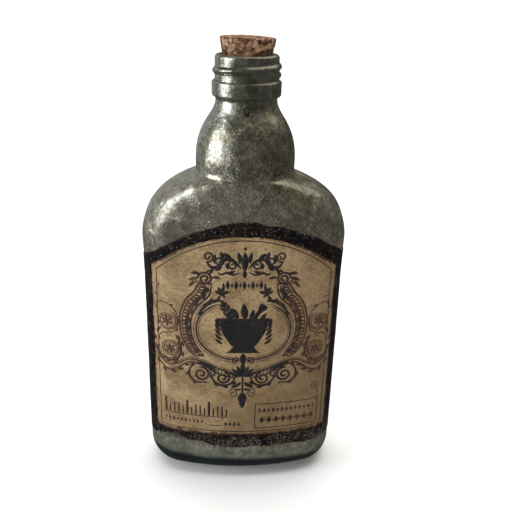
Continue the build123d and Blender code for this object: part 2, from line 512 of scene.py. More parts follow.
def settle(points):
    # old blown glass isn't quite true: the body's surface is drawn in and out a little
    bow = layeredNoise(points, 3, (17, 1), (7, 0.6)) + 0.3
    x, y, z = points[..., 0], points[..., 1], points[..., 2]
    upright = smooth(12 * mm, 30 * mm, z) * (1 - smooth(160 * mm, 172 * mm, z))
    drawn = flask["unevenness"] * bow * upright
    return points - stacked(x / halfWidth, y / halfDepth, 0 * z) * drawn[..., None]


def makeFlask():
    normals = outlineNormals(flask["columns"], 0.55)
    heel = flask["heelRadius"]
    rimInset = heel + flask["bearingWidth"]
    x, y = oval(normals, halfWidth - rimInset, halfDepth - rimInset, sideRadius - rimInset)
    hollow = [stacked(x * t, y * t, np.full_like(x, flask["pushUp"] * (1 - t * t)))
              for t in np.linspace(0.06, 1, 8)]  # raised towards the middle as 1 - t^2
    outside = joined(np.stack(hollow), ovalRows(0, 0, heel, normals))
    crease = len(outside)
    collar, lip = flask["collarRadius"], flask["lipRadius"]
    bottom, top = flask["collarBottom"], flask["collarTop"]
    collarRound, lipRound, boreRound = flask["collarRound"], flask["lipRound"], flask["boreRound"]
    finish = joined(
        [[flask["neckRadius"], bottom - 0.1 * mm]],
        arc((collar - collarRound, bottom + collarRound), collarRound, -90, 0, 6),
        arc((collar - collarRound, top - collarRound), collarRound, 0, 90, 6),
        [[lip + 0.15 * mm, top]],
    )
    wallHeight = np.linspace(top + 0.12 * mm, glassTop - lipRound, 54)
    wall = turnedRows(stacked(np.full_like(wallHeight, lip), wallHeight), normals)
    wall[..., :2] *= 1 + (threadRise(wallHeight[:, None], normals[None]) / lip)[..., None]
    rim = joined(
        arc((lip - lipRound, glassTop - lipRound), lipRound, 15, 90, 6),
        arc((flask["boreRadius"] + boreRound, glassTop - boreRound), boreRound, 90, 180, 6),
    )
    outside = joined(outside, tiltCrease(turnedRows(bulbProfile(0, flask["neckRadius"]), normals)),
                              turnedRows(finish, normals), wall, turnedRows(rim, normals))
    outside = roundCrease(outside, crease, flask["creaseRound"])
    inside = joined(
        tiltCrease(turnedRows(bulbProfile(flask["wall"], flask["boreRadius"])[::-2], normals)),
        ovalRows(flask["wall"], flask["baseThickness"], heel - flask["wall"], normals)[::-2],
    )
    return makeMesh("silveredGlass", *ringGrid(settle(joined(outside, inside))))


film = {
    "dark": (0.125, 0.115, 0.08),
    "middle": (0.4, 0.375, 0.28),
    "light": (0.9, 0.87, 0.76),
    "line": (0.95, 0.88, 0.6),
    "amber": (0.26, 0.13, 0.03),
    "pit": (0.012, 0.01, 0.007),
    # colour of the painted shade on the lower left shoulder
    "shade": (0.066, 0.062, 0.043),
    "thickGlass": (0.085, 0.095, 0.078),
    "paleGlass": (0.17, 0.175, 0.145),
    "clearGlass": (0.004, 0.01, 0.013),
    "marks": ((-0.4, 171.6, 1, 1.7), (13, 147.4, 2.2, 0.35)),  # dark rings: x, height, half sizes
    "grainSize": 0.85,
    "lineSize": 2.4,
    "patchSize": 11,
}


def silverMaterial(name, clearHeel):
    # old silvering seen through smooth glass: a fine grain, a net of thin light wiggly lines, dark pits and
    # amber patches towards the right; painted light over it: lighter towards the left and on the shoulder,
    # painted shade with painted highlight spots on the lower left shoulder, and a painted bluish reflection
    # tint
    material, shader, place = newMaterial(name, Coat_Weight=0.3, Coat_Roughness=0.1)
    height = place.axis("Z") * 1000
    wander = place.noise(1000 / 45, 3)
    leftward = (place.axis("X") * -14 + wander * 1.2 - 0.62).step(-0.25, 0.3)
    grain = place.stretch(1, 1, 0.6).noise(film["grainSize"], 4, 0.62, 0.5)
    mottle = place.noise(3.4, 4, 0.6, 0.5)
    patch = place.noise(film["patchSize"], 3, 0.6, 0.4)
    smoothTop = height.step(168, 177)
    shoulder = height.step(88, 116) * height.step(149, 140)
    tone = grain * (0.58 - smoothTop * 0.3) + mottle * 0.44 + patch * 0.36 + smoothTop * 0.13
    # painted light: the tone is lifted a little towards the lit left side and on the shoulder
    tone = tone + leftward * 0.05 + shoulder * 0.03
    colour = tone.ramp((0.5, film["dark"]), (0.7, film["middle"]), (0.9, film["light"]))
    lineNoise = place.noise(film["lineSize"], 3, 0.6, 2.4)
    lines = abs(lineNoise - 0.5).step(0.022, 0.004) * place.noise(5, 2).step(0.4, 0.56)
    colour = (lines * (0.92 - smoothTop * 0.75)).paint(colour, film["line"])
    amber = place.noise(5, 4, 0.65, 0.8).step(0.54, 0.68) * leftward.step(0.9, 0.2)
    amber = amber * (1 - smoothTop * 0.7)
    colour = (amber * 0.7).paint(colour, film["amber"])
    forward = (place.axis("Y") * -100).step(-0.6, 0.6)
    paintedShadeArea = height.step(108, 122) * height.step(147, 141) * leftward * forward
    spots = place.noise(5, 3, 0.55, 0.6).step(0.54, 0.64)
    # painted shade over the lower left shoulder, where the window's reflection falls, dims that reflection;
    # the bright spots left in it are painted highlights
    colour = (paintedShadeArea * (1 - spots) * 0.62).paint(colour, film["shade"])
    colour = (paintedShadeArea * spots * 0.25).paint(colour, film["light"])
    for x, z, wide, tall in film["marks"]:
        aside, above = (place.axis("X") * 1000 - x + (wander - 0.5) * 4) / wide, (height - z) / tall
        ring = abs((aside * aside + above * above + (grain - 0.5) * 2.4) - 1).step(0.9, 0.3)
        colour = (ring * forward * 0.85).paint(colour, film["pit"])
    pitCell = place.cell(0.9)
    pits = pitCell.step(0.3, 0.16) * place.noise(3.2, 3).step(0.47, 0.58) * (1 - smoothTop * 0.8)
    colour = (pits * 0.9).paint(colour, film["pit"])
    # a bluish tint painted over the neck and the upper left of the bulb: a painted reflection of the bluish
    # window
    blue = (smoothTop + leftward * height.step(150, 166)).step(0.1, 1)
    paintedReflectionTint = colour.node("ShaderNodeMix", {"data_type": "RGBA", "blend_type": "MULTIPLY"},
                       {0: 1, 6: colour, 7: (0.84, 0.93, 1.06, 1)}, 2)
    colour = (blue * 0.55).paint(colour, paintedReflectionTint)
    matt = shoulder * (1 - leftward) * 0.045 + paintedShadeArea * (1 - spots) * 0.3
    metal = (0.97 - pits * 0.5 - amber * 0.3) * (1 - matt)
    rough = 0.21 + grain.step(0.7, 0.4) * 0.1 + amber * 0.12 + smoothTop * 0.03
    relief = (grain * 0.2 + lines * 0.08) * (1 - smoothTop * 0.8) + mottle * 0.5 + place.noise(9, 2) * 1.9
    if clearHeel:
        # towards the foot the film thins out behind thicker glass, and the heel itself is clear
        ragged = (place.noise(1000 / 95, 3) - 0.5) * 5
        thick = (height + ragged * 1.6).step(22, 14) * 0.85
        veil = mottle.step(0.42, 0.62).paint(film["thickGlass"], film["paleGlass"])
        colour = thick.paint(colour, veil)
        clear = (height + ragged * 0.45 + place.axis("X") * 25).step(12.4, 9.4)
        colour = clear.paint(colour, film["clearGlass"])
        metal = metal * (1 - thick * 0.65) * (1 - clear)
        rough = rough + thick * 0.22
        relief = relief * (1 - thick * 0.6)
    plug(shader, Base_Color=colour, Metallic=metal, Roughness=rough, Normal=relief.bump(0.5, 0.8 * mm))
    return material


glass = makeFlask()
dress(glass, silverMaterial("silvered glass", True), "bottle", "glass", "bottle_glass")
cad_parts["silver_lining"].data.materials.clear()
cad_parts["silver_lining"].data.materials.append(silverMaterial("silver lining", False))
print("flask:", len(glass.data.polygons), "faces")


def layerPoint(x, z, lift):
    # point on the front at x and z, lifted off the glass: the outline at that height, moved outwards,
    # has the depth sqrt(b^2 - x^2) + d - b on its broad arc and sqrt(r^2 - (|x| - w + r)^2) beside it
    w, d, r = (size + lift for size in sectionAt(z))
    broad = ((w - r) ** 2 + d ** 2 - r ** 2) / (2 * (d - r))
    edge = broad * np.sin(np.arctan2(w - r, broad - d))
    onBroad = np.sqrt(np.maximum(broad ** 2 - x ** 2, 0)) + d - broad
    onSide = np.sqrt(np.maximum(r ** 2 - (np.abs(x) - w + r) ** 2, 0))
    return stacked(x, -np.where(np.abs(x) < edge, onBroad, onSide), z + 0 * x)


def laidSheet(x, z, low, high):
    # closed sheet on the front, between two lifts off the glass
    return slab(settle(layerPoint(x, z, high)), settle(layerPoint(x, z, low)))


def archTop(x, halfSpan, sideTop, top):
    # height of an arc through (-halfSpan, sideTop), (0, top) and (halfSpan, sideTop)
    rise = top - sideTop
    radius = (halfSpan ** 2 + rise ** 2) / (2 * rise)
    return top - radius + np.sqrt(np.maximum(radius ** 2 - np.minimum(np.abs(x), halfSpan) ** 2, 0))


coat = {
    "gap": 0.02 * mm,
    "thickness": 0.25 * mm,
    "bottom": 17.7 * mm,
    "sideTop": 110.6 * mm,
    "top": 129 * mm,
    "leftDrop": 2.4 * mm,  # the edge is lower on the left
    "wrap": 6.2 * mm,  # how far it reaches behind the middle
    "ragged": 0.5 * mm,
}


def makeCoat():
    # outline from the left side round the front to the right side, heights from the foot to an arched
    # edge; both edges wander with noise, and the foot is worn away upwards at the lower left
    behind = asin(coat["wrap"] / sideRadius)
    fine = np.linspace(-pi - behind, behind, 4001)
    xFine, yFine = oval(fine, halfWidth, halfDepth, sideRadius)
    length = lengthAlong(xFine, yFine)
    across = np.linspace(0, length[-1], 260)
    normal, x = np.interp(across, length, fine), np.interp(across, length, xFine)
    along = stacked(across, 0 * across, 0 * across)
    wander = coat["ragged"] * layeredNoise(along, 11, (14, 1), (5, 0.7), (1.6, 0.5))
    arch = archTop(x, halfWidth, coat["sideTop"], coat["top"])
    top = arch - smooth(5 * mm, -35 * mm, x) * coat["leftDrop"] + wander
    worn = smooth(-6 * mm, -30 * mm, x) * (1 - smooth(-38 * mm, -43 * mm, x))
    worn = worn * (3.2 * mm + 3.5 * np.roll(wander, 31))
    bottom = coat["bottom"] + np.abs(np.roll(wander, 60)) * 1.3 + worn
    z = bottom + (top - bottom) * np.linspace(0, 1, 140)[:, None]
    sides = []
    for lift in (coat["gap"] + coat["thickness"], coat["gap"]):
        px, py = oval(normal[None], *(size + lift for size in sectionAt(z)))
        sides.append(settle(stacked(px, py, z)))
    return makeSlabs("darkCoat", [slab(*sides)])


def coatMaterial():
    # near-black brown paint with fine glitter, which lies thickest along the foot and the arch
    material, shader, place = newMaterial("sparkling dark coat", Specular_IOR_Level=0.18)
    height = place.axis("Z") * 1000
    grain = place.noise(0.8, 4, 0.7)
    patch = place.noise(7, 4, 0.6)
    colour = patch.step(0.38, 0.66).paint((0.0045, 0.0028, 0.0034), (0.014, 0.0075, 0.0055))
    sparkCell = place.cell(0.62, output=1).axis("X")
    spark = place.cell(0.62).step(0.5, 0.2)
    dense = height.maths("MAXIMUM", height.step(26, 21), height.step(112, 126) * 0.1)
    dense = dense * place.noise(6, 3).step(0.36, 0.52) * (place.axis("X") * 22 + 0.5).step(-0.5, 0.6)
    fine = sparkCell.step(0.86, 0.93) * spark * 0.45
    coarse = sparkCell.step(0.45, 0.62) * spark * dense
    glitter = height.maths("MAXIMUM", fine, coarse)
    colour = (glitter * 0.85).paint(colour, (0.62, 0.6, 0.52))
    smear = place.noise(2.4, 4, 0.7, 0.5).step(0.52, 0.62) * height.step(27, 22)
    colour = (smear * 0.7).paint(colour, (0.04, 0.016, 0.008))
    frost = grain.step(0.5, 0.66) * dense * 0.55
    colour = frost.paint(colour, (0.13, 0.125, 0.11))
    plug(shader, Base_Color=colour, Metallic=glitter * 0.7, Roughness=0.5 - glitter * 0.25 - grain * 0.1,
         Normal=(grain * 0.6 + glitter * 0.5 + patch * 0.6).bump(0.5, 0.35 * mm))
    return material


darkCoat = makeCoat()
dress(darkCoat, coatMaterial(), "bottle", "coat", "backing_coat")
print("dark coat:", len(darkCoat.data.polygons), "faces")

label = {
    "gap": 0.29 * mm,  # off the glass, over the coat
    "thickness": 0.2 * mm,
    "halfWidth": 39.5 * mm,
    "bottom": 24.7 * mm,
    "sideTop": 107.4 * mm,
    "top": 123.3 * mm,
    "wear": 0.28 * mm,
}


def makeLabel():
    # straight foot and sides and an arched head, whose edges wander a little, laid on the front
    u, v = np.linspace(-1, 1, 150), np.linspace(0, 1, 190)
    foot, side = stacked(u * 40 * mm, 0 * u, 0 * u), stacked(0 * v, 0 * v, v * 90 * mm)

    def worn(line, seed):
        return label["wear"] * np.abs(layeredNoise(line, seed, (9, 1), (2.3, 0.8), (0.9, 0.5)))

    x = u * label["halfWidth"] - worn(side, 21)[:, None] * smooth(0.3, 1, u)
    x = x + worn(side, 31)[:, None] * smooth(-0.3, -1, u)
    top = archTop(x, label["halfWidth"], label["sideTop"], label["top"]) - worn(foot, 41)
    bottom = label["bottom"] + worn(foot, 51) * 1.6
    z = bottom + (top - bottom) * v[:, None]
    return makeSlabs("paperLabel", [laidSheet(x, z, label["gap"], label["gap"] + label["thickness"])])


def paperMaterial():
    # aged kraft paper: fibres, stains and specks, a darker worn rim, a burnt brown foot, and painted shade
    # towards the lower right
    material, shader, place = newMaterial("aged label paper", Specular_IOR_Level=0.4)
    x, z = place.axis("X") * 1000, place.axis("Z") * 1000
    fibres = place.stretch(1, 1, 2.4).noise(0.9, 4, 0.75)
    crossFibres = place.stretch(0.45, 1, 1).noise(0.8, 3, 0.7)
    stains = place.noise(12, 5, 0.62, 0.6)
    grime = place.noise(3, 5, 0.7, 0.4)
    colour = stains.step(0.36, 0.64).paint((0.175, 0.11, 0.048), (0.38, 0.268, 0.14))
    colour = (fibres.step(0.46, 0.6) * 0.55).paint(colour, (0.43, 0.31, 0.175))
    colour = (crossFibres.step(0.5, 0.62) * 0.55).paint(colour, (0.15, 0.088, 0.038))
    colour = (grime.step(0.5, 0.66) * 0.45).paint(colour, (0.13, 0.072, 0.029))
    # painted shade: the paper is darker towards the right and the bottom, away from the light
    shade = (x * 0.012 - (z - 70) * 0.0075 + (stains - 0.5) * 0.7).step(-0.28, 0.78)
    colour = (shade * 0.72).paint(colour, (0.125, 0.078, 0.031))
    archEdge = z + x * x * 0.0107
    edge = x.maths("MAXIMUM", abs(x), archEdge - 84.1) + (place.noise(1.8, 5, 0.7) - 0.5) * 4.4
    colour = (edge.step(37.4, 39.9) * 0.45).paint(colour, (0.13, 0.07, 0.03))
    colour = (edge.step(38.9, 39.5) * 0.85).paint(colour, (0.04, 0.018, 0.01))
    foot = (z - (place.noise(2.4, 5, 0.7) - 0.5) * 6).step(26.6, 25.4)
    colour = (foot * 0.9).paint(colour, (0.03, 0.012, 0.008))
    specks = place.cell(1.5).step(0.17, 0.09) * place.noise(4, 2).step(0.46, 0.6)
    colour = (specks * 0.6).paint(colour, (0.095, 0.045, 0.018))
    plug(shader, Base_Color=colour, Roughness=0.6 + fibres * 0.2,
         Normal=(fibres * 0.5 + grime * 0.6 + crossFibres * 0.4).bump(0.35, 0.2 * mm))
    return material


paperLabel = makeLabel()
dress(paperLabel, paperMaterial(), "bottle", "label", "paper_label")
print("paper label:", len(paperLabel.data.polygons), "faces")


# print on the label, drawn in millimetres of x and height
ink = {
    "lift": 0.03 * mm,
    "depth": 0.05 * mm,
    "fine": 0.3,
    "line": 0.46,
    "bold": 0.8,
    "black": (0.012, 0.012, 0.015),
    "brown": (0.075, 0.03, 0.018),
}
hair, line, bold = ink["fine"], ink["line"], ink["bold"]


def through(points, count=40):
    # smooth curve through a few points: Catmull-Rom, a cubic whose slope at a point is half the step
    # between its neighbours
    p = np.array(points, float)
    p = np.vstack([2 * p[0] - p[1], p, 2 * p[-1] - p[-2]])
    place = np.linspace(0, len(p) - 3 - 1e-9, count)
    i = place.astype(int)
    t = (place - i)[:, None]
    a, b, c, d = p[i], p[i + 1], p[i + 2], p[i + 3]
    return 0.5 * (2 * b + (c - a) * t + (2 * a - 5 * b + 4 * c - d) * t**2 + (3 * b - a - 3 * c + d) * t**3)


def spiral(x, z, radius, start, turns, end=0.15, count=46):
    # radius shrinks evenly to end times itself while the angle runs on; start and turns in full turns
    t = np.linspace(0, 1, count)
    angle = 2 * pi * (start + turns * t)
    r = radius * (1 - (1 - end) * t)
    return stacked(x + r * np.cos(angle), z + r * np.sin(angle))


def stroke(points, width, across=2, ends=(0.25, 0.25), belly=0):
    # flat ribbon along the points; its width fades to the ends' shares, and belly swells its middle
    p = np.asarray(points, float)
    t = np.linspace(0, 1, len(p))
    swell = np.sin(pi * t)
    taper = np.minimum(1, np.minimum(ends[0] + t * 8, ends[1] + (1 - t) * 8))
    wide = np.broadcast_to(width, t.shape) * taper * (1 - belly + belly * swell)
    ahead = np.gradient(p, axis=0)
    ahead /= np.maximum(np.linalg.norm(ahead, axis=1, keepdims=True), 1e-9)
    aside = stacked(ahead[:, 1], -ahead[:, 0])
    share = np.linspace(-0.5, 0.5, across)
    return p[:, None] + aside[:, None] * (np.maximum(wide, 0.03)[:, None] * share)[..., None]


def leaf(x, z, angle, length, width, bend=0):
    # a pointed leaf along a bent line, its width as the sine of the way along to the power 0.8
    t = np.linspace(0, 1, 12)
    turn = radians(angle) + radians(bend) * t
    step = stacked(np.cos(turn), np.sin(turn)) * length / 11
    path = np.array((x, z)) + np.cumsum(step, axis=0) - step[0]
    return stroke(path, width * np.sin(pi * np.clip(t * 0.94 + 0.05, 0, 1)) ** 0.8, 3, (1, 1))


def diamond(x, z, halfWidth, halfHeight):
    # lozenge as a short upright ribbon that widens and narrows evenly
    t = np.linspace(-1, 1, 5)
    return stroke(stacked(x + 0 * t, z + t * halfHeight), 2 * halfWidth * (1 - np.abs(t)), 3, (1, 1))


def mirrored(shapes):
    # the shapes and their mirror images about x = 0, with columns turned round to keep facing forwards
    return shapes + [shape[:, ::-1] * np.array([-1, 1]) for shape in shapes]


def rungs(left, right, count, width):
    # short bars between two curves
    pick = np.linspace(2, len(left) - 3, count).astype(int)
    return [stroke(np.linspace(left[i], right[i], 5), width, 2, (0.6, 0.6)) for i in pick]


def leavesAlong(path, sizes, side, angle=48, width=0.42, bend=40):
    # leaves that grow from a path at even steps, on one side of it
    pick = np.linspace(1, len(path) - 3, len(sizes)).astype(int)
    shapes = []
    for i, size in zip(pick, sizes):
        step = path[i + 1] - path[i]
        heading = degrees(atan2(step[1], step[0]))
        shapes += [leaf(*path[i], heading + side * angle, size, size * width, -side * bend)]
    return shapes


def borderShapes():
    # framing line: foot, sides and arch, broken where scrolls cross it
    half, foot, sideTop, top = 37.3, 27, 105.9, 121.5
    arch = np.linspace(-half, half, 90)
    lines = [
        (stacked(arch, archTop(arch, half, sideTop, top)), line),
        (stacked(np.full(60, -half), np.linspace(foot, sideTop, 60)), line * 0.9),
        (stacked(np.full(60, half), np.linspace(sideTop, foot, 60)), line * 0.9),
        (stacked(np.linspace(half, -half, 80), np.full(80, foot)), line),
    ]
    random = np.random.default_rng(7)
    shapes = []
    for path, width in lines:
        wobble = np.cumsum(random.normal(0, 0.012, path.shape), axis=0)
        wobble -= np.linspace(0, 1, len(path))[:, None] * wobble[-1]
        shapes += [stroke(path + wobble, width, 2, (1, 1))]
    twig = through([(36.4, 96), (37.6, 93.4), (36.2, 91), (37.4, 88.4), (36.6, 86)], 24)
    shapes += [stroke(twig, hair), leaf(36.9, 93.6, 160, 2.6, 0.5, 30), leaf(37, 90, 20, 1.4, 0.5, 30)]
    shapes += [leaf(-37.2, 97, 80, 3.2, 0.5, -30), leaf(-37.4, 93, 100, 2.4, 0.5, 40)]
    return shapes


def titleShapes():
    # flourish where a title would stand: a row of broad leaves and scrolls that parts from a middle
    # sprig, and a smaller row of lozenges below it
    stem = through([
        (1.4, 109), (4.6, 112.6), (8.4, 113), (11, 110), (13.8, 109.6), (16, 112.2)], 50)
    under = through([(1.6, 107.6), (4.6, 106.4), (7.6, 107.2), (9.6, 106.4), (11.4, 107.4)], 40)
    shapes = [
        stroke(stem, 1.7, 3, (0.3, 0.2), 0.5),
        stroke(under, 1, 3, (0.3, 0.2), 0.6),
        stroke(spiral(15.2, 114.2, 2.4, 0.8, -1.5), 0.85, 2, (0.8, 0.3)),
        stroke(spiral(4.9, 110.6, 2.2, 0.25, -1.3), 0.85, 2, (0.8, 0.3)),
        stroke(spiral(10.6, 112.6, 2.1, 0.55, 1.3), 0.75, 2, (0.8, 0.3)),
        leaf(5.6, 112.8, 62, 4.6, 1.9, -40), leaf(8.2, 113, 40, 4.2, 1.7, 50),
        leaf(9.6, 110.6, -70, 3.8, 1.5, 50), leaf(4, 108.2, -40, 3.4, 1.4, 50),
        leaf(12.6, 109.4, -40, 3.8, 1.5, -40), leaf(2.2, 111.4, 98, 5.2, 1.8, -30),
        leaf(12.2, 111.2, 74, 4.4, 1.6, 30), leaf(7, 108.8, 70, 3, 1.3, 20),
    ]
    shapes = mirrored(shapes)
    shapes += [leaf(0, 108, 90, 8.6, 3), leaf(0, 108.4, -90, 3.6, 2), diamond(0, 118, 0.75, 1.1)]
    for k in range(-5, 6):
        tall = 2.2 if k % 2 == 0 else 1.25
        shapes += [diamond(k * 1.75, 101.6, tall * 0.44, tall)]
    return shapes


def pillarShapes():
    # S-shaped pillar with a rolled head, a dark fluted band between its two edges and leaves inside it
    outer = through([
        (-18.8, 103.4), (-20.8, 98.6), (-25.4, 92.6), (-27.6, 84.5), (-27, 76.5), (-24.6, 70.4),
        (-20.6, 65.6)], 90)
    inner = through([
        (-13.7, 102.6), (-15, 96.2), (-20.2, 90.6), (-22.7, 84), (-22.5, 77), (-20.4, 71.4),
        (-17.2, 67)], 90)
    left, right = outer + (inner - outer) * 0.24, outer + (inner - outer) * 0.8
    middle = outer + (inner - outer) * 0.62
    shapes = [
        stroke(outer, bold), stroke(inner, bold),
        stroke(left, line), stroke(right, line),
        stroke(middle[6:], np.linspace(1.5, 0.7, 84), 3, (0.5, 0.3)),
        stroke(spiral(-16.4, 104.2, 3.1, 0.5, -1.9), 1, 2, (0.7, 0.3)),
        stroke(stacked(np.linspace(-19.4, -13.2, 12), 101.6 + 0.5 * np.sin(np.linspace(0, 3.1, 12))), 0.9),
        stroke(spiral(-20.6, 103, 1.6, 0.1, 1.2), 0.7),
        leaf(-13.6, 104.8, 24, 3.8, 1.3, -60), leaf(-18.4, 106.2, 158, 4.2, 1.5, 40),
        leaf(-20.8, 102.4, 205, 3.8, 1.4, 40), leaf(-19.4, 104.4, 184, 4.4, 1.3, 30),
        leaf(-16, 107, 60, 2.6, 1, -60),
    ]
    shapes += rungs(left, middle, 26, 0.85)
    shapes += rungs(outer, left, 50, 0.26)
    shapes += leavesAlong(middle[6:], [2.6, 2.8, 2.9, 3, 3, 3, 2.9, 2.7, 2.4, 2.1], 1, 66, 0.55, 70)
    return mirrored(shapes)


def ovalShapes():
    # double line round the emblem, open at the top, where its ends carry a crest of leaves
    shapes = []
    for grow, width in ((0, bold), (1.15, hair), (-0.95, hair)):
        angle = np.radians(np.linspace(-90, 62, 110))
        x = (20.4 + grow) * np.sign(np.cos(angle)) * np.abs(np.cos(angle)) ** 0.86
        z = 79.8 + (14.4 + grow) * np.sign(np.sin(angle)) * np.abs(np.sin(angle)) ** 0.92
        shapes += [stroke(stacked(x, z), width)]
    crest = through([(19.4, 86.6), (17.2, 90.8), (14.4, 93.6), (11.2, 94.6)], 40)
    shapes += [stroke(crest, 1.5, 3, (0.3, 0.3), 0.6)]
    shapes += leavesAlong(crest, [2, 2.4, 2.8, 2.8, 2.4], 1, 34, 0.46, 30)
    shapes += leavesAlong(crest, [1.8, 2.2, 2.4, 2.2], -1, 34, 0.46, 30)
    return mirrored(shapes)


def sideScrollShapes():
    # two rolled scrolls with a flower in each, and the leaves and tendrils about them
    shapes = []
    for centre, radius, start, turns in (((33.2, 82.4), 4.9, 0.3, 1.15), ((32, 68.8), 4.6, 0.62, -1.2)):
        shapes += [stroke(spiral(*centre, radius, start, turns, 0.62), line)]
        shapes += [stroke(spiral(*centre, radius * 0.84, start + 0.05, turns, 0.5), line)]
        shapes += [diamond(*centre, 0.6, 0.6)]
        for k in range(6):
            angle = k * 60 + 12
            spot = (centre[0] + 0.4 * cos(radians(angle)), centre[1] + 0.4 * sin(radians(angle)))
            shapes += [leaf(*spot, angle, radius * 0.5, 1.15, 40)]
    stem = through([
        (37.4, 86.8), (37.2, 90.4), (33.4, 91), (29.6, 87.8), (28.2, 82.4), (30.4, 77.6),
        (35.2, 76), (37.4, 73)], 70)
    vine = through([(29.2, 76), (27.4, 71.8), (27.7, 66.2), (31.2, 63), (36.2, 64), (38.3, 68.2)], 50)
    shapes += [stroke(stem, line), stroke(spiral(32.8, 76.2, 1.7, 0.2, 1.3), hair),
               stroke(vine, 1.1, 2, (0.3, 0.2), 0.4), stroke(vine + (0.9, 0.9), line)]
    shapes += leavesAlong(vine, [2.4, 2.8, 3.2, 3.2, 2.8, 2.4, 2], -1, 46, 0.46, 50)
    shapes += leavesAlong(vine, [1.8, 2, 2.2, 2, 1.8], 1, 50, 0.46, 50)
    shapes += leavesAlong(stem, [1.6, 2, 2, 1.8], -1, 50, 0.46, 50)
    shapes += [leaf(38, 75, 100, 4.4, 1.2, 40), leaf(38.2, 71, 75, 3.4, 1.2, -30),
               leaf(37.6, 79.4, 110, 3, 0.9, 30)]
    return mirrored(shapes)


def swagShapes():
    # band that swings from both sides to the middle, with volutes, leaves and a bud under it
    upper = through([
        (38.2, 64.4), (33.6, 60.8), (28.6, 61.8), (23.6, 64.6), (17, 63.6), (10.4, 60.6),
        (3.4, 58.6)], 80)
    lower = upper - stacked(0 * upper[:, 0], 2.1 + 0.6 * np.sin(np.linspace(0, 9, 80)))
    shapes = [stroke(upper, bold, 2, (0.4, 0.4)), stroke(lower, bold, 2, (0.4, 0.4)),
              stroke(upper + (0, 1), hair), stroke((upper + lower)[46:66] / 2, 1.5, 3, (0.2, 0.2), 0.8)]
    shapes += rungs(upper[40:], lower[40:], 13, 0.34)
    shapes += leavesAlong(lower[:44], [2.2, 2.8, 3.2, 3.2, 2.8, 2.4], 1, 56, 0.5, 50)
    for *volute, width in ((18.4, 57.4, 3.7, 0.22, 1.7, 1.1), (8.8, 56, 3.3, 0.28, 1.6, 1),
                           (13.7, 58, 1.8, 0.1, 1.3, 0.7), (4.2, 47.8, 2.1, 0.25, 1.25, 0.4)):
        shapes += [stroke(spiral(*volute), width, 2, (0.7, 0.3))]
    tail = spiral(19, 57.6, 5, 0.18, -0.52, 0.9, 30)
    hook = spiral(8.4, 57.2, 5.4, 0.02, -0.52, 0.9, 40)
    shapes += [stroke(tail, 1.2, 3, (0.3, 0.2), 0.6), stroke(hook, 1.2, 3, (0.3, 0.3), 0.5)]
    shapes += leavesAlong(hook, [2, 2.6, 3, 3, 2.6], 1, 44, 0.46, 50)
    shapes += leavesAlong(tail, [2, 2.4, 2.4, 2], 1, 50, 0.46, 50)
    shapes += [stroke(through([(1, 54.6), (2.6, 51.6), (4.6, 50.6), (6.2, 48.6)], 24), line),
               leaf(0.8, 53.8, -56, 5, 1.8, 60), leaf(0.5, 50.6, -40, 3.2, 1.1, 60)]
    for angle in (14, 38, 64):  # half of a shell
        shapes += [leaf(0.4, 57, angle, 6, 1.7, 8)]
    shapes += [stroke(spiral(3, 65.4, 1.8, 0.75, 1.2), 0.7)]
    shapes += [leaf(0.3, 48.2, -58, 5.4, 1.9, -50)]
    shapes = mirrored(shapes)
    shapes += [leaf(0, 56.8, 90, 8, 2.4), stroke(np.linspace((0, 57), (0, 48), 12), 0.9),
               leaf(0, 48.4, -90, 8.4, 3.2), leaf(0, 63.4, 90, 5.6, 2.8)]
    return shapes


def emblemShapes():
    # solid mortar and pestle, heaped with leaves: rows of the bowl are as wide as its outline
    height = np.linspace(0, 1, 40)
    bowl = 5.2 + 5.2 * np.sin(height * pi * 0.52) ** 1.1
    axis = stacked(0 * height, 72.4 + height * 12)
    foot = np.linspace(0, 1, 12)
    footLine = stacked(0 * foot, 69 + foot * 3.8)
    rim = np.linspace(-12, 12, 40)
    lean = np.linspace((3.4, 84.4), (8.8, 92.4), 24)
    knob = 1.9 + 1.9 * smooth(0.6, 0.85, np.linspace(0, 1, 24))
    shapes = [
        stroke(axis, bowl * 2, 13, (1, 1)),
        stroke(footLine, 16.4 - 8 * np.sqrt(foot), 11, (1, 1)),
        stroke(stacked(rim, 84.9 + 0 * rim), 2.2, 3, (0.5, 0.5)),
        stroke(lean, knob, 5, (1, 0.5)),
    ]
    stem = through([(-4.6, 85.6), (-6.6, 88.8), (-8.4, 91.8)], 24)
    shapes += [stroke(stem, 0.7)]
    shapes += leavesAlong(stem, [3, 3.4, 3.4, 2.8], 1, 46, 0.44, 20)
    shapes += leavesAlong(stem, [3, 3.4, 3.4, 2.8], -1, 46, 0.44, 20)
    shapes += [leaf(*stem[-2], 114, 3.6, 1.5)]
    for x, angle, size in ((-2.6, 104, 6.2), (0.4, 88, 8), (2.6, 66, 5.4), (-5.4, 128, 4.2), (6.8, 40, 4.4)):
        shapes += [leaf(x, 85.2, angle, size, size * 0.4, 14)]
    for side, k in itertools.product((-1, 1), range(5)):
        angle = 90 - side * (64 - k * 6)
        shapes += [leaf(side * (9 + 0.3 * k), 73.4 + k * 2.1, angle, 4.2, 1.4, side * 20)]
    sprigs = []
    for angle, size in ((150, 4), (100, 4.2), (60, 3.6), (20, 3), (-150, 2.6)):
        sprigs.append(leaf(9.8, 97.4, angle, size, size * 0.42, 24))
    sprigs.append(stroke(through([(9.8, 97.6), (10.4, 96.2), (11.6, 95)], 12), 0.8))
    return shapes + mirrored(sprigs)


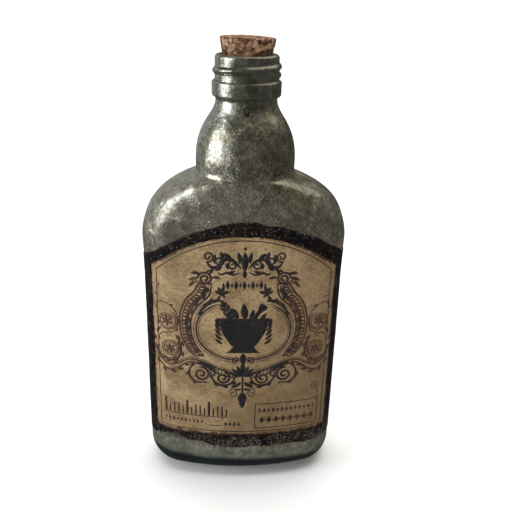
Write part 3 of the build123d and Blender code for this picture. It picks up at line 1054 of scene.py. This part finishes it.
def footShapes():
    # dose marks, a rule to fill in, and a framed panel of lozenges with a tendril above it
    shapes = []
    for k in range(15):
        tall = 7.6 if k % 5 == 0 else 5.4 if k % 5 in (2, 3) else 4
        x = -34.8 + k * 1.98
        width = 1.15 if k % 5 == 0 else 0.7
        shapes += [stroke(np.linspace((x, 35.2), (x, 35.2 + tall), 6), width, 2, (0.9, 0.9))]
    shapes += [stroke(np.linspace((-35.4, 34.8), (-6.4, 34.8), 40), 0.42, 2, (1, 1))]
    for k in range(10):
        x = -35 + k * 1.86
        shapes += [diamond(x, 31.6, 0.62, 1.25 if k % 3 else 0.8)]
    shapes += [stroke(np.linspace((-16, 30), (-9.2, 30), 10), 0.36, 2, (1, 1))]
    for x in (-7.4, -5.4, -3.4, -1.4):
        shapes += [diamond(x, 31, 0.7, 1.3)]
    left, right, low, high = 6, 35, 28.8, 42
    corners = [(left, low), (right, low), (right, high), (left, high), (left, low)]
    for a, b in zip(corners, corners[1:]):
        shapes += [stroke(np.linspace(a, b, 30), line, 2, (1, 1))]
    for k in range(13):
        x = left + 2.2 + k * 2.06
        shapes += [diamond(x, 38.4, 0.55 + 0.2 * (k % 2), 1.35)]
    for k in range(8):
        x = left + 3.2 + k * 3.3
        shapes += [diamond(x, 33.1, 1.15, 1.9)]
        if k < 7:
            shapes += [diamond(x + 1.65, 33.1, 0.4, 0.8)]
    shapes += [stroke(spiral(33, 49, 2.4, -0.1, 1.5), 0.44)]
    shapes += [stroke(through([(35.2, 48.3), (34.2, 46.2), (35, 43.8), (34.2, 40.4)], 24), 0.36)]
    return shapes


def makePrint(name, shapes):
    # each flat shape becomes a thin closed sheet that is laid over the label and set a little into it
    top = label["gap"] + label["thickness"] + ink["lift"]
    return makeSlabs(name, [laidSheet(shape[..., 0] * mm, shape[..., 1] * mm, top - ink["depth"], top)
                            for shape in shapes])


def inkMaterial():
    # blue-black ink that has browned towards the sides and worn through in places
    material, shader, place = newMaterial("old ink")
    x = place.axis("X") * 1000
    faded = (abs(x) * 0.022 + (place.noise(5, 3) - 0.5) * 1.2).step(0.15, 0.75)
    colour = faded.paint(ink["black"], ink["brown"])
    worn = place.noise(0.7, 4, 0.7).step(0.54, 0.7) * place.noise(6, 3).step(0.35, 0.65)
    colour = (worn * 0.55).paint(colour, (0.24, 0.15, 0.075))
    plug(shader, Base_Color=colour, Roughness=0.5 + worn * 0.25,
         Normal=place.noise(0.5, 3).bump(0.2, 0.1 * mm))
    return material


inkFinish = inkMaterial()
prints = {
    "printedBorder": borderShapes(),
    "printedTitleFlourish": titleShapes(),
    "printedPillars": pillarShapes(),
    "printedOval": ovalShapes(),
    "printedSideScrolls": sideScrollShapes(),
    "printedSwag": swagShapes(),
    "printedEmblem": emblemShapes(),
    "printedDosePanels": footShapes(),
}
for name, shapes in prints.items():
    printed = makePrint(name, shapes)
    dress(printed, inkFinish, "bottle", "label")
    print(name + ":", len(shapes), "shapes,", len(printed.data.polygons), "faces")


cork = {
    "lipRadius": 10.1 * mm,
    "taper": 10.5,  # degrees on each side
    "lean": 2.4,  # degrees towards the right
    "edge": 0.6 * mm,
    "grain": 0.13 * mm,
    "pits": 150,
    "pitDepth": 0.55 * mm,
    "chip": (7.4 * mm, -6.6 * mm),  # x and y of the chip in its upper edge
    "chipDepth": 1 * mm,
    "dark": (0.04, 0.014, 0.007),
    "brown": (0.165, 0.08, 0.041),
    "light": (0.46, 0.28, 0.165),
}


def makeCork():
    # radius grows evenly with height, rounded at both ends; granules stand out, pits and a chip are cut
    # in, and the whole plug leans a little
    foot, top = corkLow[2], corkHigh[2]
    edge, count = cork["edge"], cork["pits"]
    side = np.linspace(foot + edge, top - edge, 110)
    radius = cork["lipRadius"] + (side - glassTop) * tan(radians(cork["taper"]))
    low, high = radius[0] - edge, radius[-1] - edge
    bend = np.radians(np.linspace(0, 90, 8))
    inward, flat = np.linspace(0.96, 0.06, 26), np.ones(26)
    profile = joined(stacked(low * inward[::-1], foot * flat),
                     stacked(low + edge * np.sin(bend), foot + edge - edge * np.cos(bend))[:-1],
                     stacked(radius, side),
                     stacked(high + edge * np.cos(bend), top - edge + edge * np.sin(bend))[1:],
                     stacked(high * inward, top * flat))
    rows = turnedRows(profile, np.linspace(0, 2 * pi, 220, endpoint=False))
    sunk = cork["grain"] * (1 + layeredNoise(rows, 61, (2.2, 1), (0.9, 0.8), (0.45, 0.5)))
    random = np.random.default_rng(64)
    pitTurn, pitZ = random.uniform(0, 2 * pi, count), random.uniform(foot, top, count)
    share = np.where(random.random(count) < 0.35, random.uniform(0, 1, count) ** 0.5, 1)  # 1: on the side
    pitR = 10 * mm * share
    spots = stacked(pitR * np.cos(pitTurn), pitR * np.sin(pitTurn), np.where(share < 1, top, pitZ))
    for spot, size in zip(spots, random.uniform(0.4, 1.15, count) * mm):
        gap = np.linalg.norm((rows - spot) * (1, 1, 1.5), axis=-1)
        sunk += cork["pitDepth"] * smooth(size, size * 0.35, gap)
    chip = np.linalg.norm(rows - (*cork["chip"], top), axis=-1)
    sunk += cork["chipDepth"] * smooth(2.2 * mm, 0.6 * mm, chip)
    x, z = rows[..., 0], rows[..., 2]
    away = rows - stacked(0 * x, 0 * x, np.clip(z, foot + 4 * mm, top - 4 * mm))
    away = away / np.maximum(np.linalg.norm(away, axis=-1, keepdims=True), 1e-9)
    rows = rows - away * np.clip(sunk, 0, 1.6 * mm)[..., None]
    lean = radians(cork["lean"])
    x, y, z = rows[..., 0], rows[..., 1], rows[..., 2] - glassTop
    height = np.minimum(glassTop + z * cos(lean) - x * sin(lean), top)
    return makeMesh("corkPlug", *ringGrid(stacked(x * cos(lean) + z * sin(lean), y, height)))


def corkMaterial():
    # pressed cork: granules of several browns with dark seams and pits
    material, shader, place = newMaterial("cork")
    jitter = place.noise(2, 2, output=1)
    jitter = jitter.node("ShaderNodeVectorMath", {"operation": "SCALE"}, {0: jitter, "Scale": 0.0009})
    warped = place.node("ShaderNodeVectorMath", {"operation": "ADD"}, {0: place, 1: jitter})
    shade = warped.cell(1.5, output=1).axis("X")
    seams = warped.cell(1.5, "DISTANCE_TO_EDGE").step(0.14, 0)
    grain = place.noise(0.35, 4, 0.7)
    tone = shade * 0.55 + place.noise(3, 3) * 0.35 + grain * 0.3
    colour = tone.ramp((0.34, cork["dark"]), (0.57, cork["brown"]), (0.84, cork["light"]))
    pits = place.noise(0.9, 3, 0.6).step(0.6, 0.7)
    colour = (seams * 0.5).paint(colour, (0.07, 0.026, 0.013))
    colour = (pits * 0.9).paint(colour, (0.018, 0.008, 0.005))
    plug(shader, Base_Color=colour, Roughness=0.86 - grain * 0.12,
         Normal=(grain * 0.4 - seams * 0.35 - pits * 0.5 + shade * 0.2).bump(0.55, 0.35 * mm))
    return material


corkPlug = makeCork()
dress(corkPlug, corkMaterial(), "cork", "cork", "cork_stopper")
print("cork:", len(corkPlug.data.polygons), "faces")
